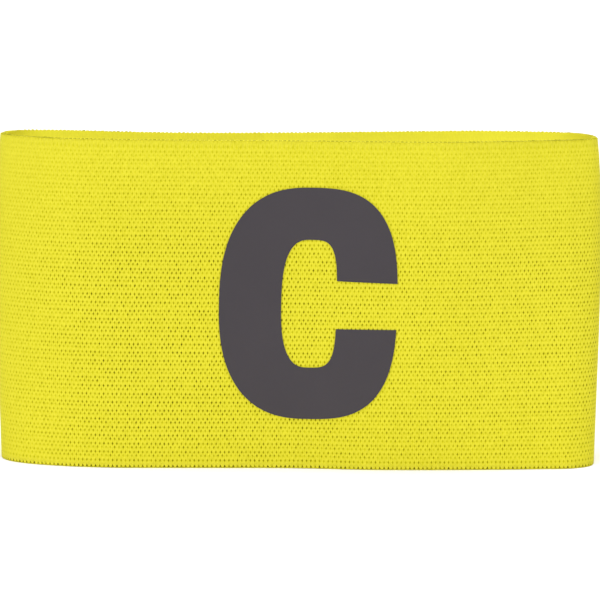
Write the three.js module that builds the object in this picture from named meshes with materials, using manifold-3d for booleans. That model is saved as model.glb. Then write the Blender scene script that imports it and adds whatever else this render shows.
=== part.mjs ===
// Captain's armband, in millimetres with +Z up: a strip of wide elastic webbing closed to a loop by a seam
// at its back, with one plain block letter pressed on its front. It stands on its lower edge, as it does on
// a table, with its front towards -Y and the arm's way through it along Z.

import * as THREE from 'three';
import { mergeVertices } from 'three/addons/utils/BufferGeometryUtils.js';
import Module from 'manifold-3d';

// Driving sizes of the loop
const BAND_HEIGHT = 80; // the webbing's own width, from one selvedge to the other
const BAND_WIDTH = 150; // the standing loop from end to end, outside, where it is widest
const FRONT_BULGE = 18.5; // how far the front stands before the line through both ends
const BACK_BULGE = 23; // how far the fullest part of the back stands behind that line
const WALL = 1.4; // thickness of the elastic webbing
const SEAM_TURN = 9; // length of each end of the strip, turned back inside and stitched down
const SEAM_TAPER = 0.8; // run over which a turned end's cut edge falls to the wall

// Driving sizes of the letter
const LETTER_HEIGHT = 56.4;
const LETTER_WIDTH = 43;
const LETTER_STEM = 15; // the upright stroke
const LETTER_CROWN = 12.6; // the thinnest part of the top and bottom strokes
const LETTER_ARM = 14.6; // the two short strokes beside the mouth
const LETTER_MOUTH = 11.5; // the gap between those strokes
const MOUTH_DROP = 0.3; // how far the gap's middle lies below the letter's
const LETTER_SHIFT = 3.35; // the letter's middle lies this far to the right of the band's
const LETTER_RISE = 0.5; // and this far above it
const LETTER_FILM = 0.4; // thickness of the pressed film
const LETTER_CLEARANCE = 0.3; // between the film and the webbing
const OUTER_SQUARENESS = { left: 2.45, right: 2.9 }; // 2 is an ellipse, more is squarer
const COUNTER_SQUARENESS = { left: 2.7, right: 3.9 };

// How finely the curved faces are divided
const COLUMNS = 150;
const LETTER_STEPS = 64;

// The loop seen from above, once round from the seam at the back's middle: over the left end, along the
// front, over the right end and back. across is a share of half the width, and upper and lower are how far
// out the loop lies at each edge: shares of the back's bulge, or with a minus sign of the front's.
const PLAN = [
  { across: 0.0, upper: 0.5, lower: 0.6 },
  { across: -0.2, upper: 0.39, lower: 0.52 },
  { across: -0.4, upper: 0.34, lower: 0.49 },
  { across: -0.6, upper: 0.42, lower: 0.54 },
  { across: -0.8, upper: 0.585, lower: 0.62 },
  { across: -0.93, upper: 0.57, lower: 0.6 },
  { across: -0.985, upper: 0.42, lower: 0.38 },
  { across: -1.0, upper: 0.04, lower: 0.03 },
  { across: -0.98, upper: -0.2, lower: -0.56 },
  { across: -0.92, upper: -0.46, lower: -0.81 },
  { across: -0.8, upper: -0.78, lower: -0.99 },
  { across: -0.62, upper: -0.95, lower: -1.09 },
  { across: -0.35, upper: -0.98, lower: -1.05 },
  { across: 0.0, upper: -0.97, lower: -0.98 },
  { across: 0.25, upper: -1.02, lower: -1.03 },
  { across: 0.48, upper: -1.0, lower: -0.985 },
  { across: 0.66, upper: -0.81, lower: -0.92 },
  { across: 0.8, upper: -0.59, lower: -0.85 },
  { across: 0.92, upper: -0.37, lower: -0.77 },
  { across: 0.985, upper: -0.17, lower: -0.56 },
  { across: 1.0, upper: 0.12, lower: 0.06 },
  { across: 0.985, upper: 0.55, lower: 0.4 },
  { across: 0.93, upper: 0.81, lower: 0.7 },
  { across: 0.8, upper: 0.955, lower: 0.87 },
  { across: 0.62, upper: 1.0, lower: 0.93 },
  { across: 0.4, upper: 0.84, lower: 0.84 },
  { across: 0.2, upper: 0.67, lower: 0.72 },
];

// The loop's level sections, from the lower edge up. height is a share of the band's height, left and right
// are shares of half its greatest width, and bulge scales both bulges, so that the loop's length stays
// within about 1%.
const SECTIONS = [
  { height: 0.0, left: 0.981, right: 0.986, bulge: 0.988 },
  { height: 0.1, left: 0.985, right: 0.989, bulge: 0.988 },
  { height: 0.24, left: 0.9915, right: 0.993, bulge: 0.987 },
  { height: 0.4, left: 0.9975, right: 0.9975, bulge: 0.986 },
  { height: 0.56, left: 1.0, right: 1.0, bulge: 0.99 },
  { height: 0.72, left: 0.9995, right: 0.9995, bulge: 1.003 },
  { height: 0.87, left: 0.995, right: 0.995, bulge: 1.03 },
  { height: 0.95, left: 0.989, right: 0.989, bulge: 1.046 },
  { height: 1.0, left: 0.9835, right: 0.9835, bulge: 1.06 },
];

// The closed smooth line of the webbing's outer face at one section
function sectionCurve({ height, left, right, bulge }) {
  const points = PLAN.map(({ across, upper, lower }) => {
    const halfWidth = (BAND_WIDTH / 2) * (across < 0 ? left : right);
    const share = THREE.MathUtils.lerp(lower, upper, height) * bulge;
    const reach = share < 0 ? FRONT_BULGE : BACK_BULGE;
    return new THREE.Vector3(across * halfWidth, share * reach, height * BAND_HEIGHT);
  });
  const curve = new THREE.CatmullRomCurve3(points, true, 'centripetal');
  curve.arcLengthDivisions = 1200;
  return curve;
}

const curves = SECTIONS.map(sectionCurve);
const girth = curves[0].getLength();

// Where the columns stand round the loop, as shares of its length from the seam: evenly, and also at both
// sides of each turned end's edge, so that the doubled stretch begins and ends cleanly.
const seamEdges = [SEAM_TURN, SEAM_TURN + SEAM_TAPER].map((length) => length / girth);
const columns = Array.from({ length: COLUMNS }, (_, index) => index / COLUMNS)
  .filter((share) => !seamEdges.some((edge) => Math.abs(Math.min(share, 1 - share) - edge) < 0.1 / COLUMNS))
  .concat(seamEdges, seamEdges.map((edge) => 1 - edge))
  .sort((a, b) => a - b);

// How many layers of webbing lie over each other: two at the seam's turned ends, one elsewhere
function layers(share) {
  const [turned, gone] = seamEdges;
  const fromSeam = Math.min(share, 1 - share);
  return 2 - THREE.MathUtils.clamp((fromSeam - turned) / (gone - turned), 0, 1);
}

// One ring of points at each section, moved out from the webbing's outer face by offset(share)
function rings(offset) {
  return curves.map((curve) =>
    columns.map((share) => {
      const along = curve.getTangentAt(share);
      const outward = new THREE.Vector3(along.y, -along.x, 0).normalize();
      return curve.getPointAt(share).addScaledVector(outward, offset(share));
    }),
  );
}

// A closed wall between an outer and an inner set of rings, with a flat rim above and below
function wallGeometry(outer, inner) {
  const count = columns.length;
  const top = curves.length - 1;
  const positions = [outer, inner].flat(2).flatMap((point) => point.toArray());
  const at = (side, level, column) => (side * curves.length + level) * count + (column % count);
  const triangles = [];
  const quad = (a, b, c, d) => triangles.push(a, b, c, a, c, d);
  for (let column = 0; column < count; column += 1) {
    const next = column + 1;
    for (let level = 0; level < top; level += 1) {
      const up = level + 1;
      quad(at(0, level, column), at(0, level, next), at(0, up, next), at(0, up, column));
      quad(at(1, level, next), at(1, level, column), at(1, up, column), at(1, up, next));
    }
    quad(at(0, 0, next), at(0, 0, column), at(1, 0, column), at(1, 0, next));
    quad(at(0, top, column), at(0, top, next), at(1, top, next), at(1, top, column));
  }
  const geometry = new THREE.BufferGeometry();
  geometry.setAttribute('position', new THREE.Float32BufferAttribute(positions, 3));
  geometry.setIndex(triangles);
  return geometry;
}

// The outline of the block letter C about its own middle: round the outside from the mouth's upper lip to
// its lower lip, and back round the counter, both as squared ellipses that are squarer beside the mouth.
function letterShape() {
  const upperLip = LETTER_MOUTH / 2 - MOUTH_DROP;
  const lowerLip = LETTER_MOUTH / 2 + MOUTH_DROP;
  const counterMiddle = (LETTER_STEM - LETTER_ARM) / 2;
  const roundTurn = (halfWidth, halfHeight, squareness, middle) => {
    const lipAngle = (lip) => Math.asin((lip / halfHeight) ** (squareness.right / 2));
    const from = lipAngle(upperLip);
    const to = 2 * Math.PI - lipAngle(lowerLip);
    return Array.from({ length: LETTER_STEPS + 1 }, (_, step) => {
      const angle = THREE.MathUtils.lerp(from, to, step / LETTER_STEPS);
      const power = 2 / (Math.cos(angle) > 0 ? squareness.right : squareness.left);
      const squared = (value) => Math.sign(value) * Math.abs(value) ** power;
      const x = middle + halfWidth * squared(Math.cos(angle));
      return new THREE.Vector2(x, halfHeight * squared(Math.sin(angle)));
    });
  };
  const counterWidth = LETTER_WIDTH - LETTER_STEM - LETTER_ARM;
  const outside = roundTurn(LETTER_WIDTH / 2, LETTER_HEIGHT / 2, OUTER_SQUARENESS, 0);
  const counterHalfHeight = LETTER_HEIGHT / 2 - LETTER_CROWN;
  const counter = roundTurn(counterWidth / 2, counterHalfHeight, COUNTER_SQUARENESS, counterMiddle);
  return new THREE.Shape([...outside, ...counter.reverse()]);
}

const wasm = await Module();
wasm.setup();

function toManifold(geometry) {
  const bare = geometry.clone();
  bare.deleteAttribute('normal');
  bare.deleteAttribute('uv');
  const merged = mergeVertices(bare);
  const vertProperties = new Float32Array(merged.attributes.position.array);
  const triVerts = new Uint32Array(merged.index.array);
  return new wasm.Manifold(new wasm.Mesh({ numProp: 3, vertProperties, triVerts }));
}

function toGeometry(solid) {
  const { vertProperties, triVerts } = solid.getMesh();
  const geometry = new THREE.BufferGeometry();
  geometry.setAttribute('position', new THREE.Float32BufferAttribute(vertProperties, 3));
  geometry.setIndex(Array.from(triVerts));
  geometry.computeVertexNormals();
  return geometry;
}

// The webbing: one strip closed to a loop, doubled inside where its ends are turned back at the seam
function elasticBand() {
  const outer = rings(() => 0);
  const inner = rings((share) => -WALL * layers(share));
  const geometry = wallGeometry(outer, inner);
  geometry.computeVertexNormals();
  const material = new THREE.MeshStandardMaterial({ color: '#e3dc33', roughness: 0.85, metalness: 0 });
  return new THREE.Mesh(geometry, material);
}

// The letter: a film that follows the front of the band, cut out along the letter's outline
function letterC() {
  const film = wallGeometry(
    rings(() => LETTER_CLEARANCE + LETTER_FILM),
    rings(() => LETTER_CLEARANCE),
  );
  const reach = 2 * FRONT_BULGE;
  const cutter = new THREE.ExtrudeGeometry(letterShape(), { depth: reach, bevelEnabled: false });
  cutter.rotateX(Math.PI / 2);
  cutter.translate(LETTER_SHIFT, 0, BAND_HEIGHT / 2 + LETTER_RISE);
  const geometry = toGeometry(toManifold(film).intersect(toManifold(cutter)));
  const material = new THREE.MeshStandardMaterial({ color: '#4f4a4e', roughness: 0.6, metalness: 0 });
  return new THREE.Mesh(geometry, material);
}

const armband = new THREE.Group();
const pieces = { elastic_band: elasticBand(), letter_c: letterC() };
for (const [name, mesh] of Object.entries(pieces)) {
  mesh.name = name;
  armband.add(mesh);
}

// The origin is the middle of the whole thing's box, on the surface that it stands on
const box = new THREE.Box3().setFromObject(armband);
const middle = box.getCenter(new THREE.Vector3());
armband.position.set(-middle.x, -middle.y, -box.min.z);

export default armband;
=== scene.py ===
# Captain's armband: a strip of wide knitted elastic, closed to a loop by a seam at its back, with a block
# letter pressed on its front. Each piece is made flat, as on the cutting table, and then bent round.
import math
import random

import bmesh
import bpy
import numpy as np
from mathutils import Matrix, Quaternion, Vector, noise


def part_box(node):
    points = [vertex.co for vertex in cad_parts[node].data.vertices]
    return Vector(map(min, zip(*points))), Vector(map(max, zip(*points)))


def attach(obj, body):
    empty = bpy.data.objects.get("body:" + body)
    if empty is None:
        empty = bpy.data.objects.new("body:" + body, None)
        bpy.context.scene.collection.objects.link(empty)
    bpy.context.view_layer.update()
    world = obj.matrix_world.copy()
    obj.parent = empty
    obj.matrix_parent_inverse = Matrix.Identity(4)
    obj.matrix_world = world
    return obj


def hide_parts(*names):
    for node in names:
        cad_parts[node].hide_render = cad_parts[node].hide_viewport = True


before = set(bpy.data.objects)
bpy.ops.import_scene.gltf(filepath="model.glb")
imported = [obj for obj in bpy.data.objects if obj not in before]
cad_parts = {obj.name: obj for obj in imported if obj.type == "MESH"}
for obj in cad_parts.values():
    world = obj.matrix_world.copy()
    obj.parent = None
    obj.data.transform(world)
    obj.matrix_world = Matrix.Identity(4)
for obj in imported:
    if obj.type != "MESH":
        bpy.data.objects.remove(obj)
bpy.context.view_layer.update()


# The loop's form
# The strip stands on its edge in a soft flat ring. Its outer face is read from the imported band: a ring of
# points at each level, once round from the seam over the left end, the front and the right end.
HOLLOW_REACH = 0.05  # the arm's hollow has a middle line this far to either side
SAME_POINT = 0.000001  # points of the band that are closer than this are one
SAME_LEVEL = 0.00002
RING_OVERLAP = 3  # points repeated at either end of a ring, so that its curve closes smoothly
TURN_STEP = 0.0005  # share of the way round between a place and those that its direction is taken from
SQUARE_ON = 0.5  # a face looks up or down the z axis where its normal has more z than this

solid = bmesh.new()
solid.from_mesh(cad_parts["elastic_band"].data)
bmesh.ops.remove_doubles(solid, verts=solid.verts, dist=SAME_POINT)
solid.normal_update()


def faces_out(vert):
    """True for a point of the outer face: its walls look away from the hollow's middle line."""
    middle = max(-HOLLOW_REACH, min(HOLLOW_REACH, vert.co.x))
    away = Vector((vert.co.x - middle, vert.co.y, 0))
    walls = [face.normal for face in vert.link_faces if abs(face.normal.z) < SQUARE_ON]
    return sum(walls, Vector()).dot(away) > 0


def ring_at(points):
    """The points of one level in order, each one's share of the way round, and the ring's whole length."""
    here = min((v for v in points if v.co.y > 0), key=lambda v: abs(v.co.x))
    ring, left = [here], set(points) - {here}
    while left:
        near = [e.other_vert(here) for e in here.link_edges if e.other_vert(here) in left]
        here = min(near, key=lambda v: v.co.x) if len(ring) == 1 else near[0]
        ring.append(here)
        left.remove(here)
    places = np.array([v.co.xy for v in ring])
    steps = np.linalg.norm(np.diff(places, axis=0, append=places[:1]), axis=1)
    shares = np.concatenate([[0], np.cumsum(steps)[:-1]]) / steps.sum()
    wrapped_shares = [shares[-RING_OVERLAP:] - 1, shares, shares[:RING_OVERLAP] + 1]
    wrapped_places = [places[-RING_OVERLAP:], places, places[:RING_OVERLAP]]
    return np.concatenate(wrapped_shares), np.concatenate(wrapped_places), steps.sum()


outer_points = [v for v in solid.verts if faces_out(v)]
levels = np.array(sorted({round(v.co.z, 5) for v in outer_points}))
rings = [ring_at([v for v in outer_points if abs(v.co.z - level) < SAME_LEVEL]) for level in levels]
solid.free()

HEIGHT = float(levels[-1])
GIRTH = float(np.mean([length for _, _, length in rings]))


def smooth(knots, values, at):
    """Values between the knots, on a cubic through them all."""
    slopes = np.gradient(values, knots, axis=0)
    low = np.clip(np.searchsorted(knots, at, side="right") - 1, 0, len(knots) - 2)
    step = (knots[low + 1] - knots[low])[:, None]
    t = (at - knots[low])[:, None] / step
    each = () if values.ndim == 2 else (np.arange(len(at)),)
    here, there = (low, *each), (low + 1, *each)
    start = (2 * t**3 - 3 * t**2 + 1) * values[here] + (t**3 - 2 * t**2 + t) * step * slopes[here]
    return start + (3 * t**2 - 2 * t**3) * values[there] + (t**3 - t**2) * step * slopes[there]


def bend_round(flat):
    """Bends a flat mesh round the loop: x is along it from the seam, y up it and z out of its face."""
    places = np.array([v.co for v in flat.verts])
    share, height, out = places[:, 0] / GIRTH % 1, places[:, 1], places[:, 2]

    def outline(shares):
        rows = np.array([smooth(knots, ring, shares) for knots, ring, _ in rings])
        return smooth(levels, rows, height)

    along = outline((share + TURN_STEP) % 1) - outline((share - TURN_STEP) % 1)
    outward = np.stack([along[:, 1], -along[:, 0]], axis=1)
    outward /= np.linalg.norm(outward, axis=1)[:, None]
    bent = outline(share) + outward * out[:, None]
    for vert, (x, y), z in zip(flat.verts, bent, height):
        vert.co = (x, y, z)


def finish_piece(name, flat, material):
    """Turns a bent mesh into a piece that rides with the band."""
    mesh = bpy.data.meshes.new(name)
    flat.to_mesh(mesh)
    flat.free()
    mesh.materials.append(material)
    piece = bpy.data.objects.new(name, mesh)
    bpy.context.scene.collection.objects.link(piece)
    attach(piece, "root")
    return piece


# Knitted webbing
# One strip of warp-knitted elastic, 1.4 mm thick. Its yarns cross in a net of slanting lines and leave a
# small opening between every four crossings, so the openings stand in staggered rows, about 1 mm apart.
WALL = 0.0014
UPPER_ROOM = 0.0002  # the selvedge yarn wraps this much beyond the strip's own upper edge
LOWER_ROOM = 0.0001
STITCH_PITCH = 0.00105
STITCHES = 2 * round(GIRTH / STITCH_PITCH / 2)  # columns of stitches round the loop
PITCH = GIRTH / STITCHES
DOUBLE_ROWS = 39
ROW = 0.00203
ROW_DROP = 0.18  # the lowest double row is shorter than the others by this share of one
ROWS_START = 0.00025  # height from which the rows are counted
ROW_SKEW = 0.09  # every second row of openings lies this share of a double row higher
BESIDE = 0.1  # a crossing within this much of a column or row is on it
BETWEEN = 0.25  # an opening further than this from a whole column lies between two
SAME_PLACE = 0.00005  # two points that are closer than this, up or across, are level or in line

OPENING_INSET = 0.00034
OPENING_NARROWED = 0.85  # what is left of an opening once the yarns have swelled into it
OPENING_DEPTH = 0.00014
PALE_DEPTH, DARK_DEPTH = 0.6, 0.5  # shares of the depth: the palest opening's, and what the darkest adds
OPENING_SLANT = 0.00006
STITCH_WANDER = 0.00006  # how far a crossing strays from its place
FINE_WANDER, BROAD_WANDER = 900, 150  # waves of its straying, for each metre
EDGE_OPENING_INSET = 0.0001
UPPER_RIM_OPENING = (0.0003, 0.00003, 0.00072)  # width, and how far in it begins and ends
LOWER_RIM_OPENING = (0.0005, 0.00016, 0.00088)

SKEWED_DARKNESS = (0.34, 0.92)  # the least and the most painted shade, for openings on a whole column
STRAIGHT_DARKNESS = (0.55, 1.03)  # and for those between two
# the painted shade in the gaps at the upper and lower edges, partly the darker core yarn seen through them
UPPER_RIM_DARKNESS = (0.2, 0.72)
LOWER_RIM_DARKNESS = (0.85, 1)
CLOSED_ROW = 0.7 * ROW  # openings below this height are pulled shut by the edge
LEFT_END_SHARE, FRONT_SHARE = 0.25, 0.5  # of the way round: the loop's left end, and the front's length
LEFT_PALENESS = (0.23, 0.22)  # run over which openings grow dark, and how dark they are where it begins
RIGHT_PALENESS = (0.2, 0.83)
TOP_PALENESS = (0.38, 0.33)
BOTTOM_PALENESS = (0.24, 0.68)
RIGHT_RUN_START, BOTTOM_RUN_START = 0.62, 1.12  # in shares of the front's length and of the height
BESIDE_POWER = 1.2
DARKNESS_POWER = 4.0  # the shade follows this power of the depth, which keeps it in the pit

SEAM_TURN = 0.009  # each end of the strip is turned back inside by this much
SEAM_TRIM = 0.02  # run over which a turned end thins out below the upper edge
SEAM_VALLEY = 0.0006
SEAM_LINE = 0.3 * PITCH
SEAM_DARKNESS = 0.9
PANEL_REACH = 3  # the front panel reaches this many columns behind the loop's left and right ends

BAKE_MARGIN = 0.005
OUTER_FIELD = (0.36, 0.635)  # where the outer face lies up the bake map, and how much it takes
INNER_FIELD = (0.005, 0.33)
RIM_FIELD = (0.34, 0.01)

YARN = (0.708, 0.648, 0.045, 1)
YARN_SHADE = (0.445, 0.404, 0.002, 1)
# painted light: the inner face takes a lighter yarn colour, standing in for light that the inside of the
# loop doesn't get
LIT_INNER_YARN = (0.93, 0.875, 0.057, 1)
# painted shade: the yarn round each opening turns a fuller yellow, standing in for light bounced about in
# the pit
SHADE_BESIDE_OPENING = (0.655, 0.596, 0.0, 1)
# painted shade deep in each opening
OPENING_SHADE = (0.07, 0.063, 0.0, 1)
YARN_ROUGHNESS = 0.85
YARN_SHINE = 0.1
YARN_SHEEN, SHEEN_ROUGHNESS = 0.02, 0.4
BLOTCHES, LINT = 45.0, 1500.0  # waves of the yarn's unevenness, for each metre
BLOTCH_TONE, LINT_TONE = 0.2, 0.8  # their shares of the tone
UNEVEN_POWER = 1.6
WALE_REACH, WALE_TONE, PLAIN_TONE = 0.4, 0.6, 0.7  # the shade along each half column, and beside it
FORK_PLACE, FORK_REACH, FORK_TONE = (0.5, 0.3), (0.12, 0.14), 0.8  # a shade where two yarns part
INNER_TONE = 0.5  # the inner face shows the same shades this weakly
# painted highlight: below zero, it lightens the yarn round each opening, as if its bulging sides caught the
# light
OPENING_HIGHLIGHT = -0.3
FILAMENTS, FILAMENT_RELIEF = 60.0, 0.16
LINT_RELIEF = 0.4
KNIT_RELIEF = 0.00006

SEED = 11  # the same knitting in each run
chance = random.Random(SEED)
noise.seed_set(SEED)


def node(tree, kind, inputs=(), **settings):
    """A shader node with its settings, and its inputs set or linked."""
    made = tree.nodes.new(kind)
    for key, value in settings.items():
        setattr(made, key, value)
    for key, value in dict(inputs).items():
        if isinstance(value, bpy.types.NodeSocket):
            tree.links.new(value, made.inputs[key])
        else:
            made.inputs[key].default_value = value
    return made


def math_node(tree, operation, first, second=0.0, third=0.0):
    return node(tree, "ShaderNodeMath", {0: first, 1: second, 2: third}, operation=operation).outputs[0]


def mix_colour(tree, factor, first, second):
    """Both colours are the mixing node's colour inputs, the seventh and eighth of its sockets."""
    inputs = {"Factor": factor, 6: first, 7: second}
    return node(tree, "ShaderNodeMix", inputs, data_type="RGBA").outputs[2]


def noise_node(tree, place, scale, detail):
    return node(tree, "ShaderNodeTexNoise", {"Vector": place, "Scale": scale, "Detail": detail}).outputs[0]


def new_material(name):
    material = bpy.data.materials.new(name)
    material.use_nodes = True
    return material, material.node_tree, material.node_tree.nodes["Principled BSDF"]


def clamped(tree, value):
    return node(tree, "ShaderNodeClamp", {"Value": value}).outputs[0]


def near_line(tree, coordinate, place, reach):
    """1 where the coordinate is a whole number plus this place, and 0 from that reach on."""
    off = math_node(tree, "PINGPONG", math_node(tree, "SUBTRACT", coordinate, place), 0.5)
    return clamped(tree, math_node(tree, "SUBTRACT", 1.0, math_node(tree, "DIVIDE", off, reach)))


def webbing_material():
    """In the stitches map, openings are at half columns on whole rows and at whole columns on half rows."""
    material, tree, shader = new_material("yellow_knitted_elastic")
    stitch = node(tree, "ShaderNodeUVMap", uv_map="stitches").outputs[0]
    split = node(tree, "ShaderNodeSeparateXYZ", {0: stitch})
    column, row = split.outputs[0], split.outputs[1]
    rise, fall = math_node(tree, "ADD", column, row), math_node(tree, "SUBTRACT", column, row)
    off_rise, off_fall = (math_node(tree, "PINGPONG", line, 0.5) for line in (rise, fall))
    nearest = math_node(tree, "MINIMUM", off_rise, off_fall)
    ridge = math_node(tree, "SUBTRACT", 1.0, math_node(tree, "MULTIPLY", nearest, 4.0))
    on_rise = math_node(tree, "LESS_THAN", off_rise, off_fall)
    across = node(tree, "ShaderNodeMix", {0: on_rise, 2: off_fall, 3: off_rise}).outputs[0]
    filaments = math_node(tree, "SINE", math_node(tree, "MULTIPLY", across, FILAMENTS))

    place = node(tree, "ShaderNodeTexCoord").outputs["Object"]
    blotches, lint = noise_node(tree, place, BLOTCHES, 3.0), noise_node(tree, place, LINT, 2.0)
    lint_tone = math_node(tree, "MULTIPLY", lint, LINT_TONE)
    uneven = math_node(tree, "MULTIPLY_ADD", blotches, BLOTCH_TONE, lint_tone)
    wale = near_line(tree, math_node(tree, "MULTIPLY", column, 2.0), 0.0, WALE_REACH)
    fork_lines = [near_line(tree, *line) for line in zip((column, row), FORK_PLACE, FORK_REACH)]
    fork = math_node(tree, "MULTIPLY", *fork_lines)
    # hollow is 0 on the open yarn and rises into each pit; it carries the painted shade of the openings
    hollow = node(tree, "ShaderNodeAttribute", attribute_name="hollow").outputs["Fac"]
    shaded = math_node(tree, "MULTIPLY_ADD", wale, WALE_TONE, PLAIN_TONE)
    shaded = math_node(tree, "MULTIPLY", shaded, math_node(tree, "POWER", uneven, UNEVEN_POWER))
    shaded = math_node(tree, "MULTIPLY_ADD", fork, FORK_TONE, shaded)
    # painted highlight round each opening
    shaded = clamped(tree, math_node(tree, "MULTIPLY_ADD", hollow, OPENING_HIGHLIGHT, shaded))
    yarn = mix_colour(tree, shaded, YARN, YARN_SHADE)
    # painted light: the inner face is mixed towards the lighter yarn
    inner = node(tree, "ShaderNodeAttribute", attribute_name="inner").outputs["Fac"]
    plain = mix_colour(tree, math_node(tree, "MULTIPLY", shaded, INNER_TONE), LIT_INNER_YARN, YARN)
    yarn = mix_colour(tree, inner, yarn, plain)
    # painted shade: a fuller yellow beside each opening, then dark shade in its pit
    colour = mix_colour(tree, math_node(tree, "POWER", hollow, BESIDE_POWER), yarn, SHADE_BESIDE_OPENING)
    colour = mix_colour(tree, math_node(tree, "POWER", hollow, DARKNESS_POWER), colour, OPENING_SHADE)
    tree.links.new(colour, shader.inputs["Base Color"])
    shader.inputs["Roughness"].default_value = YARN_ROUGHNESS
    shader.inputs["Specular IOR Level"].default_value = YARN_SHINE
    shader.inputs["Sheen Weight"].default_value = YARN_SHEEN
    shader.inputs["Sheen Roughness"].default_value = SHEEN_ROUGHNESS
    relief = math_node(tree, "MULTIPLY_ADD", filaments, FILAMENT_RELIEF, ridge)
    relief = math_node(tree, "MULTIPLY_ADD", lint, LINT_RELIEF, relief)
    bump = node(tree, "ShaderNodeBump", {"Strength": 0.5, "Distance": KNIT_RELIEF, "Height": relief})
    tree.links.new(bump.outputs[0], shader.inputs["Normal"])
    return material


webbing = webbing_material()


def ramp(value, run, low):
    """From low where the value is 0 up to 1 where it reaches the end of the run."""
    return low + (1 - low) * min(1, max(0, value / run))


def opening_strength(along, up):
    """How dark the painted shade in the openings is, and how deep they sink: palest at the left end and
    along the top, and darkest left of the letter. The lowest row is closed, above the row at the rim."""
    if up < CLOSED_ROW:
        return 0
    from_left = (along / GIRTH - LEFT_END_SHARE) / FRONT_SHARE
    from_top = 1 - up / HEIGHT
    across = ramp(from_left, *LEFT_PALENESS) * ramp(RIGHT_RUN_START - from_left, *RIGHT_PALENESS)
    return across * ramp(from_top, *TOP_PALENESS) * ramp(BOTTOM_RUN_START - from_top, *BOTTOM_PALENESS)


def stray(along, up):
    """How far a crossing has strayed from its place, along the strip and up it."""
    turn = along / GIRTH * math.tau
    spot = Vector((math.cos(turn), math.sin(turn), 0)) * GIRTH / math.tau + Vector((0, 0, up))
    fine, broad = noise.noise_vector(spot * FINE_WANDER), noise.noise_vector(spot * BROAD_WANDER)
    return (fine.xy + broad.xy) * STITCH_WANDER


def stitch_net(first, last):
    """The net of crossings between two columns as a flat wall, with its maps. A crossing's place is counted
    in columns and double rows at first, and then turned to metres."""
    cloth = bmesh.new()
    columns = last - first
    bmesh.ops.create_grid(cloth, x_segments=columns, y_segments=DOUBLE_ROWS, size=0.5)
    bmesh.ops.scale(cloth, verts=cloth.verts, vec=(columns, DOUBLE_ROWS, 1))
    bmesh.ops.translate(cloth, verts=cloth.verts, vec=((first + last) / 2, DOUBLE_ROWS / 2, 0))
    lines = [edge for edge in cloth.edges if not edge.is_boundary]
    bmesh.ops.poke(cloth, faces=cloth.faces[:])
    bmesh.ops.dissolve_edges(cloth, edges=lines)
    bmesh.ops.solidify(cloth, geom=cloth.faces[:], thickness=WALL)
    cloth.normal_update()
    stitches = cloth.loops.layers.uv.new("stitches")
    baked = cloth.loops.layers.uv.new("OFBake")
    for face in cloth.faces:
        for loop in face.loops:
            column, row, out = loop.vert.co
            loop[stitches].uv = (column, row)
            if face.normal.z > SQUARE_ON:
                (begins, tall), up = OUTER_FIELD, row / DOUBLE_ROWS
            elif face.normal.z < -SQUARE_ON:
                (begins, tall), up = INNER_FIELD, row / DOUBLE_ROWS
            else:
                (begins, tall), up = RIM_FIELD, abs(out) / WALL
            across = BAKE_MARGIN + (1 - 2 * BAKE_MARGIN) * (column - first) / columns
            loop[baked].uv = (across, begins + tall * up)
    for vert in cloth.verts:
        column, row = vert.co.xy
        vert.co.x = column * PITCH
        if row < BESIDE:
            vert.co.y = LOWER_ROOM
        elif row > DOUBLE_ROWS - BESIDE:
            vert.co.y = HEIGHT - UPPER_ROOM
        else:
            vert.co.y = (row - ROW_DROP) * ROW + ROWS_START
            if first + BESIDE < column < last - BESIDE:
                vert.co.xy += stray(*vert.co.xy)
    return cloth


def place_in_net(cell):
    """A cell's half row and half column: in this order, each run gives the same cell the same chances."""
    middle = cell.calc_center_median()
    return round(2 * middle.y / ROW), round(2 * middle.x / PITCH)


def sink_opening(cell, hollow):
    """Makes a cell of the net a narrow pit that slants a little, with painted shade darker or paler than
    the next.
    """
    middle = cell.calc_center_median()
    column = middle.x / PITCH
    skewed = abs(column - round(column)) < BETWEEN
    limits = SKEWED_DARKNESS if skewed else STRAIGHT_DARKNESS
    dark = opening_strength(middle.x, middle.y) * chance.uniform(*limits)
    slant = chance.uniform(-OPENING_SLANT, OPENING_SLANT)
    for vert in cell.verts:
        off = (vert.co - middle) * OPENING_NARROWED
        off.x += math.copysign(slant, off.y) * (abs(off.y) > SAME_PLACE)
        off.y += ROW_SKEW * ROW * skewed
        off.z -= OPENING_DEPTH * (PALE_DEPTH + DARK_DEPTH * dark)
        vert.co = middle + off
        # how strongly the pit is painted in shade
        vert[hollow] = min(1, dark) ** (1 / DARKNESS_POWER)


def sink_rim_opening(cell, hollow):
    """Makes a half cell at an edge of the strip a small open triangle that points into the cloth, darkened
    partly by painted shade in the gap and partly by the darker core yarn seen through it.
    """
    middle = cell.calc_center_median()
    above = middle.y > HEIGHT / 2
    wide, begins, ends = UPPER_RIM_OPENING if above else LOWER_RIM_OPENING
    limits = UPPER_RIM_DARKNESS if above else LOWER_RIM_DARKNESS
    strength = chance.uniform(*limits)
    for vert in cell.verts:
        off = vert.co.x - middle.x
        at_edge = abs(off) > SAME_PLACE
        if at_edge:
            vert.co.x = middle.x + math.copysign(wide / 2, off)
        inward = begins if at_edge else ends
        vert.co.y = HEIGHT - UPPER_ROOM - inward if above else LOWER_ROOM + inward
        vert.co.z -= OPENING_DEPTH
        vert[hollow] = strength


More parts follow.
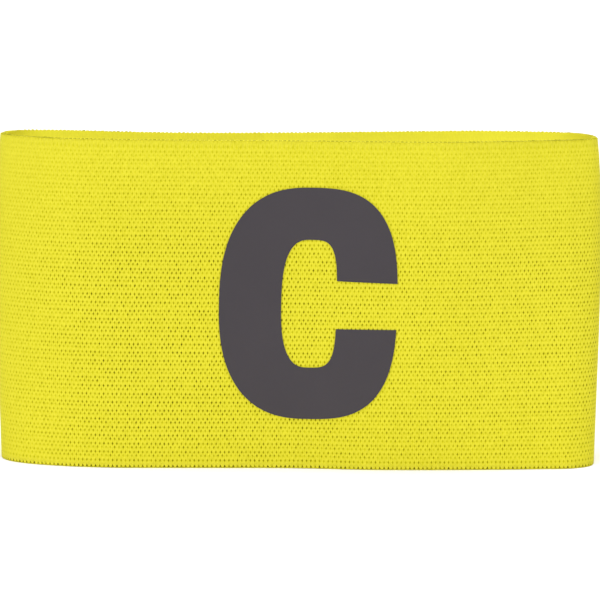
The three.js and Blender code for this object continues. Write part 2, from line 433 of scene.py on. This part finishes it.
def knitted_panel(name, first, last):
    """A stretch of the strip between two columns of stitches, counted from the seam, with its openings."""
    cloth = stitch_net(first, last)
    hollow = cloth.verts.layers.float.new("hollow")
    inside = cloth.verts.layers.float.new("inner")
    for face in cloth.faces:
        face.smooth = True
    for edge in cloth.edges:
        if any(abs(face.normal.z) < SQUARE_ON for face in edge.link_faces):
            edge.smooth = False
    outside = sorted((f for f in cloth.faces if f.normal.z > SQUARE_ON), key=place_in_net)
    cells = [face for face in outside if len(face.verts) == 4]
    rim = [
        face for face in outside
        if len(face.verts) == 3 and abs(face.calc_center_median().y - HEIGHT / 2) > HEIGHT / 2 - ROW
    ]
    for faces, inset in ((cells, OPENING_INSET), (rim, EDGE_OPENING_INSET)):
        bmesh.ops.inset_individual(cloth, faces=faces, thickness=inset, depth=0, use_even_offset=True)
    for cell in cells:
        sink_opening(cell, hollow)
    for cell in rim:
        sink_rim_opening(cell, hollow)
    for vert in cloth.verts:
        from_seam = abs(vert.co.x)
        vert[inside] = vert.co.z < -WALL / 2
        if vert[inside] and from_seam < SEAM_TURN:
            vert.co.z -= WALL * min(1, (HEIGHT - vert.co.y) / SEAM_TRIM)
        elif not vert[inside] and from_seam < SEAM_LINE:
            vert.co.z -= SEAM_VALLEY
            vert[hollow] = max(vert[hollow], SEAM_DARKNESS)
    bend_round(cloth)
    panel = finish_piece(name, cloth, webbing)
    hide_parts("elastic_band")


LEFT_END = STITCHES // 4 - PANEL_REACH
RIGHT_END = STITCHES - LEFT_END
knitted_panel("webbing_front", LEFT_END, RIGHT_END)
knitted_panel("webbing_back", RIGHT_END - STITCHES, LEFT_END)


# Selvedge yarns
# The knitting yarn turns back at each edge of the strip, once for every column of stitches, and wraps the
# edge from the outer face over to the inner one. Its turns are slim at the top and full below; painted
# shade darkens the upper tips and the dip between a lower turn's two strands.
TIP_WIDE = 0.0003  # half the width of a turn at the upper edge
TURN_WIDE = 0.00036  # and at the lower edge
YARN_THICK = 0.0002
YARN_SIDES = 8
STRAND_DIP = 0.6  # a turn is two strands side by side, with a dip between them this deep
DIP_REACH = 0.2 * TURN_WIDE  # to either side of a turn's middle
WRAP_RADIUS = WALL / 2 - 0.00014
UPPER_WRAP = 0.3  # height of the wrap, as a share of a half circle's
LOWER_WRAP = 0.18
WRAP_SEGMENTS = 7
TURN_FULLNESS = (0.8, 1.1)  # the slimmest and the fullest turn, as shares of the width
TIP_UNEVEN = 0.0001  # the highest and lowest tips differ by this
TIP_SHADE_ABOVE = 0.3  # painted shade covers an upper turn's tip above this share of the wrap's height
# the least and the most painted shade on one turn
TIP_SHADING = (0.1, 1)
TIP_SHADE_BEHIND = 0.45  # turns on the back carry this share of the painted shade
# olive painted shade on the turns' tips and dips
TIP_SHADE_COLOUR = (0.33, 0.315, 0.0, 1)
STRANDS, STRAND_TONE = 2500.0, 0.5  # waves of the yarn's unevenness, for each metre, and its strength
STRAND_RELIEF = 0.00008


def wrapping_yarn(wide, flattened):
    """One turn of yarn over the upper edge, at the strip's beginning."""
    yarn = bmesh.new()
    middle = Vector((0, 0, -WALL / 2))
    strands = bmesh.ops.create_circle(yarn, segments=YARN_SIDES, radius=1, cap_ends=False)["verts"]
    for vert in strands:
        if abs(vert.co.x) < SAME_PLACE:
            vert.co.y *= STRAND_DIP
    bmesh.ops.scale(yarn, verts=strands, vec=(wide, YARN_THICK, 1))
    bmesh.ops.rotate(yarn, verts=strands, matrix=Quaternion((1, 0, 0), math.pi / 2).to_matrix())
    bmesh.ops.translate(yarn, verts=strands, vec=middle + Vector((0, 0, WRAP_RADIUS)))
    bmesh.ops.spin(
        yarn, geom=yarn.edges[:], cent=middle, axis=(1, 0, 0), dvec=(0, 0, 0), angle=-math.pi,
        steps=WRAP_SEGMENTS, use_merge=False, use_normal_flip=False, use_duplicate=False,
    )
    bmesh.ops.holes_fill(yarn, edges=[e for e in yarn.edges if e.is_boundary], sides=YARN_SIDES)
    bmesh.ops.recalc_face_normals(yarn, faces=yarn.faces)
    bmesh.ops.scale(yarn, verts=yarn.verts, vec=(1, flattened, 1))
    return yarn


def selvedge(name, upper):
    wide, flattened = (TIP_WIDE, UPPER_WRAP) if upper else (TURN_WIDE, LOWER_WRAP)
    wrap_height = (WRAP_RADIUS + YARN_THICK) * flattened
    one = wrapping_yarn(wide, flattened)
    if not upper:
        bmesh.ops.scale(one, verts=one.verts, vec=(1, -1, 1))
        bmesh.ops.reverse_faces(one, faces=one.faces)
    pattern = bpy.data.meshes.new(name + "_yarn")
    one.to_mesh(pattern)
    one.free()
    row = bmesh.new()
    tip_shade = row.verts.layers.float.new("tip_shade")
    for column in range(STITCHES):
        before = len(row.verts)
        row.from_mesh(pattern)
        row.verts.ensure_lookup_table()
        added = row.verts[before:]
        strength = chance.uniform(*TIP_SHADING) * (1 if LEFT_END < column < RIGHT_END else TIP_SHADE_BEHIND)
        for vert in added:
            # painted shade on an upper tip, or in the dip between a lower turn's strands
            shows = vert.co.y > TIP_SHADE_ABOVE * wrap_height if upper else abs(vert.co.x) < DIP_REACH
            vert[tip_shade] = strength * shows
        bmesh.ops.scale(row, verts=added, vec=(chance.uniform(*TURN_FULLNESS), 1, 1))
        level = HEIGHT - wrap_height + TIP_UNEVEN * chance.uniform(-0.5, 0.5) if upper else wrap_height
        bmesh.ops.translate(row, verts=added, vec=(column * PITCH, level, 0))
    bpy.data.meshes.remove(pattern)
    for face in row.faces:
        face.smooth = True
    bend_round(row)
    finish_piece(name, row, selvedge_yarn)


def selvedge_material():
    material, tree, shader = new_material("yellow_selvedge_yarn")
    place = node(tree, "ShaderNodeTexCoord").outputs["Object"]
    strands = noise_node(tree, place, STRANDS, 3.0)
    yarn = mix_colour(tree, math_node(tree, "MULTIPLY", strands, STRAND_TONE), YARN, YARN_SHADE)
    tip_shade = node(tree, "ShaderNodeAttribute", attribute_name="tip_shade").outputs["Fac"]
    # painted shade mixed over the yarn's colour
    tree.links.new(mix_colour(tree, tip_shade, yarn, TIP_SHADE_COLOUR), shader.inputs["Base Color"])
    shader.inputs["Roughness"].default_value = YARN_ROUGHNESS
    shader.inputs["Specular IOR Level"].default_value = YARN_SHINE
    shader.inputs["Sheen Weight"].default_value = YARN_SHEEN
    bump = node(tree, "ShaderNodeBump", {"Strength": 0.4, "Distance": STRAND_RELIEF, "Height": strands})
    tree.links.new(bump.outputs[0], shader.inputs["Normal"])
    return material


selvedge_yarn = selvedge_material()
selvedge("upper_selvedge", True)
selvedge("lower_selvedge", False)


# Seam stitching
# The strip's two ends meet at the middle of the back, are turned inside and held down by a row of
# lockstitch on either side of the join, in thread of the webbing's own colour.
STITCH_LENGTH = 0.0026
STITCH_GAP = 0.0004
THREAD_RADIUS = 0.00019
THREAD_PROUD = 0.00008  # from the cloth's face to the thread's middle
STITCH_ROW = 0.006  # from the join to each row
ROW_MARGIN = 0.002  # from each edge of the strip to the row's ends

thread_rows = bmesh.new()
stitch_half = (STITCH_LENGTH - STITCH_GAP) / 2
stitch_count = int((HEIGHT - 2 * ROW_MARGIN) / STITCH_LENGTH)
for side in (-1, 1):
    for count in range(stitch_count):
        middle_up = ROW_MARGIN + STITCH_LENGTH * (count + 0.5)
        for out in (THREAD_PROUD, -2 * WALL - THREAD_PROUD):
            stitch = bmesh.ops.create_icosphere(thread_rows, subdivisions=2, radius=1)["verts"]
            bmesh.ops.scale(thread_rows, verts=stitch, vec=(THREAD_RADIUS, stitch_half, THREAD_RADIUS))
            bmesh.ops.translate(thread_rows, verts=stitch, vec=(side * STITCH_ROW, middle_up, out))
for face in thread_rows.faces:
    face.smooth = True
bend_round(thread_rows)
finish_piece("seam_stitching", thread_rows, selvedge_yarn)


# Letter
# The captain's sign, a plain block letter cut from thin dark grey film and pressed on the front with heat.
# Its outline is a squared ellipse with a squared counter, opened at the right by the mouth.
FILM_LIFT = 0.00005  # over the yarns' highest points
FILM_THICKNESS = 0.00015
STEM = 0.01498
CROWN = 0.0126
ARM = 0.01458
MOUTH = 0.01147
MOUTH_DROP = 0.00033
UPPER_LIP_SLOPE = 0.034  # the lip falls this much from the counter to the letter's right side
LOWER_LIP_SLOPE = 0.0
OUTER_SQUARENESS = (2.5, 2.9)  # of the left and right sides: 2 is an ellipse, more is squarer
COUNTER_SQUARENESS = (2.7, 3.9)
LETTER_STEPS = 160
STROKE_CELLS = 10
FRONT_SPAN = (0.3, 0.7)  # the letter lies between these shares of the way round
FRONT_SAMPLES = 800

FILM_GREY = (0.041, 0.0345, 0.0398, 1)
CLOUDS, CLOUD_TONE = 60.0, 0.16  # waves of the film's faint cloudiness, for each metre, and its strength
GRAIN, GRAIN_ROUGHNESS = 1400.0, 0.12
FILM_ROUGHNESS = 0.5
FILM_SHINE = 0.3
FILM_RELIEF, CLOUD_RELIEF = 0.00005, 1.5

letter_low, letter_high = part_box("letter_c")
letter_middle = (letter_low + letter_high) / 2
half_wide = (letter_high.x - letter_low.x) / 2
half_tall = (letter_high.z - letter_low.z) / 2


def strip_place(x):
    """How far along the strip the loop's front reaches this x, at half its height."""
    shares = np.linspace(*FRONT_SPAN, FRONT_SAMPLES)
    knots, ring, _ = rings[len(rings) // 2]
    return float(np.interp(x, smooth(knots, ring, shares)[:, 0], shares)) * GIRTH


def squared_ring(flat, middle, wide, tall, squareness):
    """A closed line between an ellipse and a box in form, with its middle this far along the letter."""
    for vert in bmesh.ops.create_circle(flat, segments=LETTER_STEPS, radius=1)["verts"]:
        x, y = vert.co.xy
        power = 2 / squareness[x > 0]
        vert.co.x = middle + wide * math.copysign(abs(x) ** power, x)
        vert.co.y = tall * math.copysign(abs(y) ** power, y)


letter = bmesh.new()
counter_wide = half_wide - (STEM + ARM) / 2
squared_ring(letter, 0, half_wide, half_tall, OUTER_SQUARENESS)
squared_ring(letter, (STEM - ARM) / 2, counter_wide, half_tall - CROWN, COUNTER_SQUARENESS)
strokes = bmesh.ops.bridge_loops(letter, edges=letter.edges[:])["edges"]
bmesh.ops.subdivide_edges(letter, edges=strokes, cuts=STROKE_CELLS - 1, use_grid_fill=True)
lips = []
for up, slope in ((MOUTH / 2 - MOUTH_DROP, UPPER_LIP_SLOPE), (-MOUTH / 2 - MOUTH_DROP, LOWER_LIP_SLOPE)):
    corner = Vector((half_wide - ARM / 2, up, 0))
    normal = Vector((slope, 1, 0)).normalized()
    lips.append((corner, normal))
    parts = letter.verts[:] + letter.edges[:] + letter.faces[:]
    bmesh.ops.bisect_plane(letter, geom=parts, plane_co=corner, plane_no=normal, dist=1e-7)
between = []
for face in letter.faces:
    middle = face.calc_center_median()
    above, below = ((middle - corner).dot(normal) > 0 for corner, normal in lips)
    if middle.x > 0 and below and not above:
        between.append(face)
bmesh.ops.delete(letter, geom=between, context="FACES")
bmesh.ops.recalc_face_normals(letter, faces=letter.faces)
if letter.faces[0].normal.z < 0:
    bmesh.ops.reverse_faces(letter, faces=letter.faces)
bmesh.ops.solidify(letter, geom=letter.faces[:], thickness=FILM_THICKNESS)
place = Vector((strip_place(letter_middle.x), letter_middle.z, FILM_LIFT + FILM_THICKNESS))
bmesh.ops.translate(letter, verts=letter.verts, vec=place)
letter.normal_update()
for face in letter.faces:
    face.smooth = abs(face.normal.z) > SQUARE_ON
for edge in letter.edges:
    edge.smooth = all(abs(face.normal.z) > SQUARE_ON for face in edge.link_faces)
bend_round(letter)


def film_material():
    material, tree, shader = new_material("dark_grey_pressed_film")
    place = node(tree, "ShaderNodeTexCoord").outputs["Object"]
    cloudy, grain = noise_node(tree, place, CLOUDS, 3.0), noise_node(tree, place, GRAIN, 2.0)
    tone = math_node(tree, "MULTIPLY_ADD", cloudy, CLOUD_TONE, 1 - CLOUD_TONE / 2)
    colour = node(tree, "ShaderNodeVectorMath", {0: FILM_GREY[:3]}, operation="SCALE")
    tree.links.new(tone, colour.inputs["Scale"])
    tree.links.new(colour.outputs[0], shader.inputs["Base Color"])
    rough = math_node(tree, "MULTIPLY_ADD", grain, GRAIN_ROUGHNESS, FILM_ROUGHNESS)
    tree.links.new(rough, shader.inputs["Roughness"])
    shader.inputs["Specular IOR Level"].default_value = FILM_SHINE
    relief = math_node(tree, "MULTIPLY_ADD", cloudy, CLOUD_RELIEF, grain)
    bump = node(tree, "ShaderNodeBump", {"Strength": 0.15, "Distance": FILM_RELIEF, "Height": relief})
    tree.links.new(bump.outputs[0], shader.inputs["Normal"])
    return material


film = finish_piece("letter_film", letter, film_material())
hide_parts("letter_c")


# Studio
# A white table under an even white sky, with a broad soft lamp to either side of the camera, one overhead
# and a weaker one behind. The camera stands far off and a little above the band, with a long lens.
TABLE_REACH = 20.0
TABLE_WHITE = (0.96, 0.96, 0.99, 1)
TABLE_ROUGHNESS = 0.85
SKY_STRENGTH = 0.25
SPECKLES, SPECKLE_ROUGHNESS = 8.0, 0.1

table = bmesh.new()
bmesh.ops.create_grid(table, x_segments=1, y_segments=1, size=TABLE_REACH)
table_mesh = bpy.data.meshes.new("table")
table.to_mesh(table_mesh)
table.free()
table_top = bpy.data.objects.new("table", table_mesh)
bpy.context.scene.collection.objects.link(table_top)
paint, tree, shader = new_material("white_table")
speckle = noise_node(tree, node(tree, "ShaderNodeTexCoord").outputs["Object"], SPECKLES, 2.0)
rough = math_node(tree, "MULTIPLY_ADD", speckle, SPECKLE_ROUGHNESS, TABLE_ROUGHNESS)
tree.links.new(rough, shader.inputs["Roughness"])
shader.inputs["Base Color"].default_value = TABLE_WHITE
shader.inputs["Specular IOR Level"].default_value = 0.0
table_mesh.materials.append(paint)

sky = bpy.data.worlds.new("white_sky")
sky.use_nodes = True
sky.node_tree.nodes["Background"].inputs["Color"].default_value = (1, 1, 1, 1)
sky.node_tree.nodes["Background"].inputs["Strength"].default_value = SKY_STRENGTH
bpy.context.scene.world = sky
bpy.context.scene.view_settings.view_transform = "Standard"


def far_lamp(name, towards, spread, power):
    """A broad soft lamp so far off that it lights the whole table evenly, seen in this direction."""
    lamp = bpy.data.lights.new(name, "SUN")
    lamp.angle = math.radians(spread)
    lamp.energy = power * math.pi
    stand = bpy.data.objects.new(name, lamp)
    bpy.context.scene.collection.objects.link(stand)
    stand.rotation_euler = Vector(towards).to_track_quat("Z", "Y").to_euler()


far_lamp("left_lamp", (-0.9, -1, 0.75), spread=50, power=0.44)
far_lamp("right_lamp", (0.9, -1, 0.75), spread=50, power=0.323)
far_lamp("top_lamp", (0, 0, 1), spread=30, power=0.75)
far_lamp("back_lamp", (0.3, 1, 0.7), spread=50, power=0.18)

CAMERA_TARGET = Vector((0.00068, 0, 0.03873))
CAMERA_DISTANCE = 0.631
CAMERA_AZIMUTH = math.radians(1.742)
CAMERA_ELEVATION = math.radians(7.584)
CAMERA_ROLL = math.radians(0.359)
SENSOR_WIDTH = 36
FOCAL_LENGTH = 151.8

lens = bpy.data.cameras.new("long_lens")
lens.sensor_width = SENSOR_WIDTH
lens.lens = FOCAL_LENGTH
camera = bpy.data.objects.new("camera", lens)
bpy.context.scene.collection.objects.link(camera)
level = math.cos(CAMERA_ELEVATION)
sideways, forwards = math.sin(CAMERA_AZIMUTH) * level, -math.cos(CAMERA_AZIMUTH) * level
back = Vector((sideways, forwards, math.sin(CAMERA_ELEVATION)))
camera.location = CAMERA_TARGET + CAMERA_DISTANCE * back
turn = back.to_track_quat("Z", "Y") @ Quaternion((0, 0, 1), CAMERA_ROLL)
camera.rotation_euler = turn.to_euler()
bpy.context.scene.camera = camera
